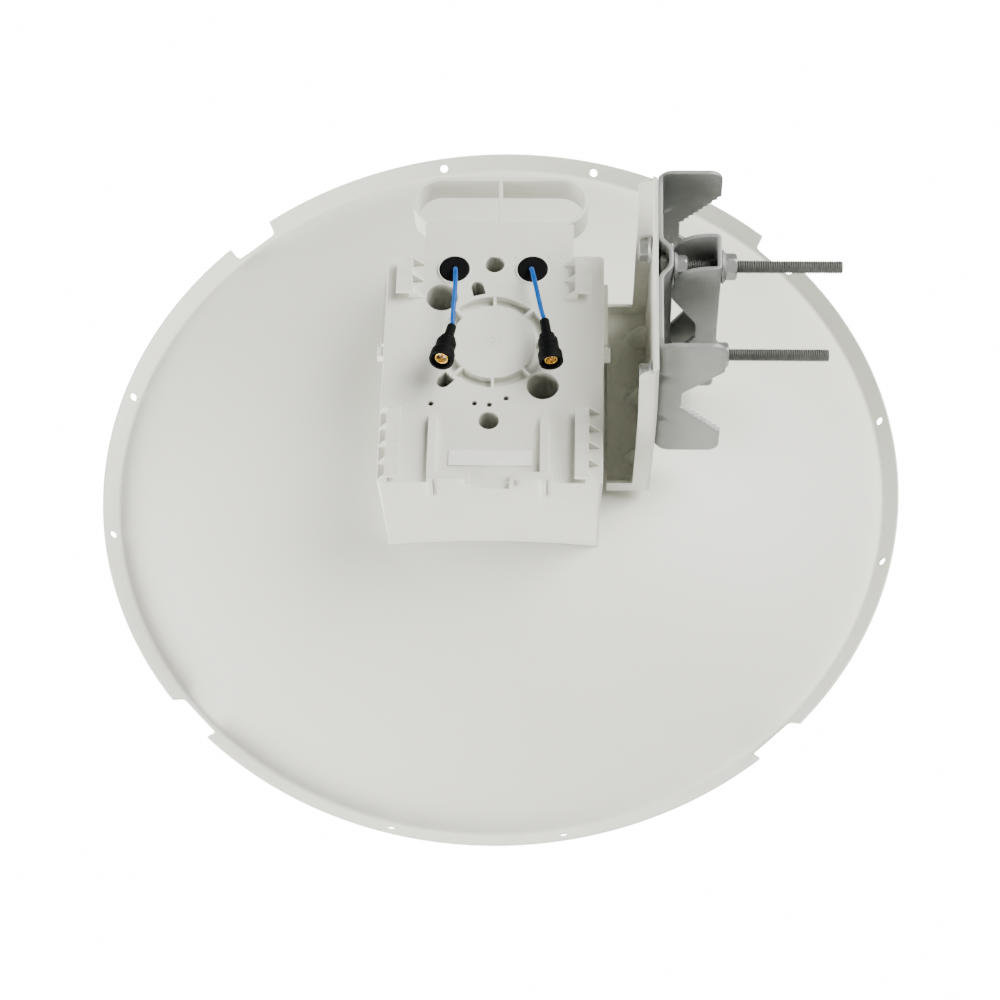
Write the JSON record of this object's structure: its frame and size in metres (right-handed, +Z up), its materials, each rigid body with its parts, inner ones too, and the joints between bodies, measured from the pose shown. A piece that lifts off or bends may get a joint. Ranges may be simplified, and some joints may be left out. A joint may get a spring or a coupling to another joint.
{
  "type": "microwave dish antenna",
  "caption": "Parabolic microwave dish with a plastic rear housing, carrying handle, coax pigtails, tilting side bracket and a notched clamp for a pole.",
  "frame": {"origin": "centre of the flat rib face of the pole bracket, on the side of the pole", "axes": "+X from the dish to the pole, +Y the way the dish looks, +Z up"},
  "size_m": [0.65, 0.3954, 0.65],
  "materials": {
    "dish_paint": "satin off-white paint",
    "bracket_paint": "satin off-white paint",
    "housing_plastic": "matt off-white plastic",
    "grey_steel": "grey coated steel",
    "zinc_steel": "dull zinc",
    "feed_metal": "satin",
    "black_rubber": "matt",
    "blue_jacket": "semi-gloss cable jacket",
    "gold_plate": "gold plated",
    "label_white": "blank label"
  },
  "bodies": {
    "pole_mount": {"pole_bracket": "grey_steel", "clamp_rod_upper": "zinc_steel", "clamp_rod_lower": "zinc_steel", "inner_nut_upper": "zinc_steel", "inner_nut_lower": "zinc_steel", "pivot_bolt": "zinc_steel", "slot_bolt": "zinc_steel", "pivot_nut": "zinc_steel", "slot_nut": "zinc_steel"},
    "antenna": {"reflector": "dish_paint", "housing": "housing_plastic", "handle": "housing_plastic", "tilt_bracket": "bracket_paint", "grommet_left": "black_rubber", "grommet_right": "black_rubber", "pigtail_left": "blue_jacket", "pigtail_right": "blue_jacket", "boot_left": "black_rubber", "boot_right": "black_rubber", "socket_left": "gold_plate", "socket_right": "gold_plate", "label_plate": "label_white", "feed_tube": "feed_metal", "feed_flange": "feed_metal", "feed_cone": "housing_plastic", "feed_cap": "housing_plastic"},
    "clamp": {"clamp_jaw": "grey_steel", "outer_nut_upper": "zinc_steel", "outer_nut_lower": "zinc_steel"}
  },
  "joints": [
    {"name": "elevation", "type": "hinge", "parent": "pole_mount", "child": "antenna", "pos_m": [0, 0, -0.057], "axis": [1, 0, 0], "range_deg": [-12, 12]},
    {"name": "clamp_slide", "type": "slide", "parent": "pole_mount", "child": "clamp", "axis": [1, 0, 0], "range_m": [0, 0.06]}
  ]
}
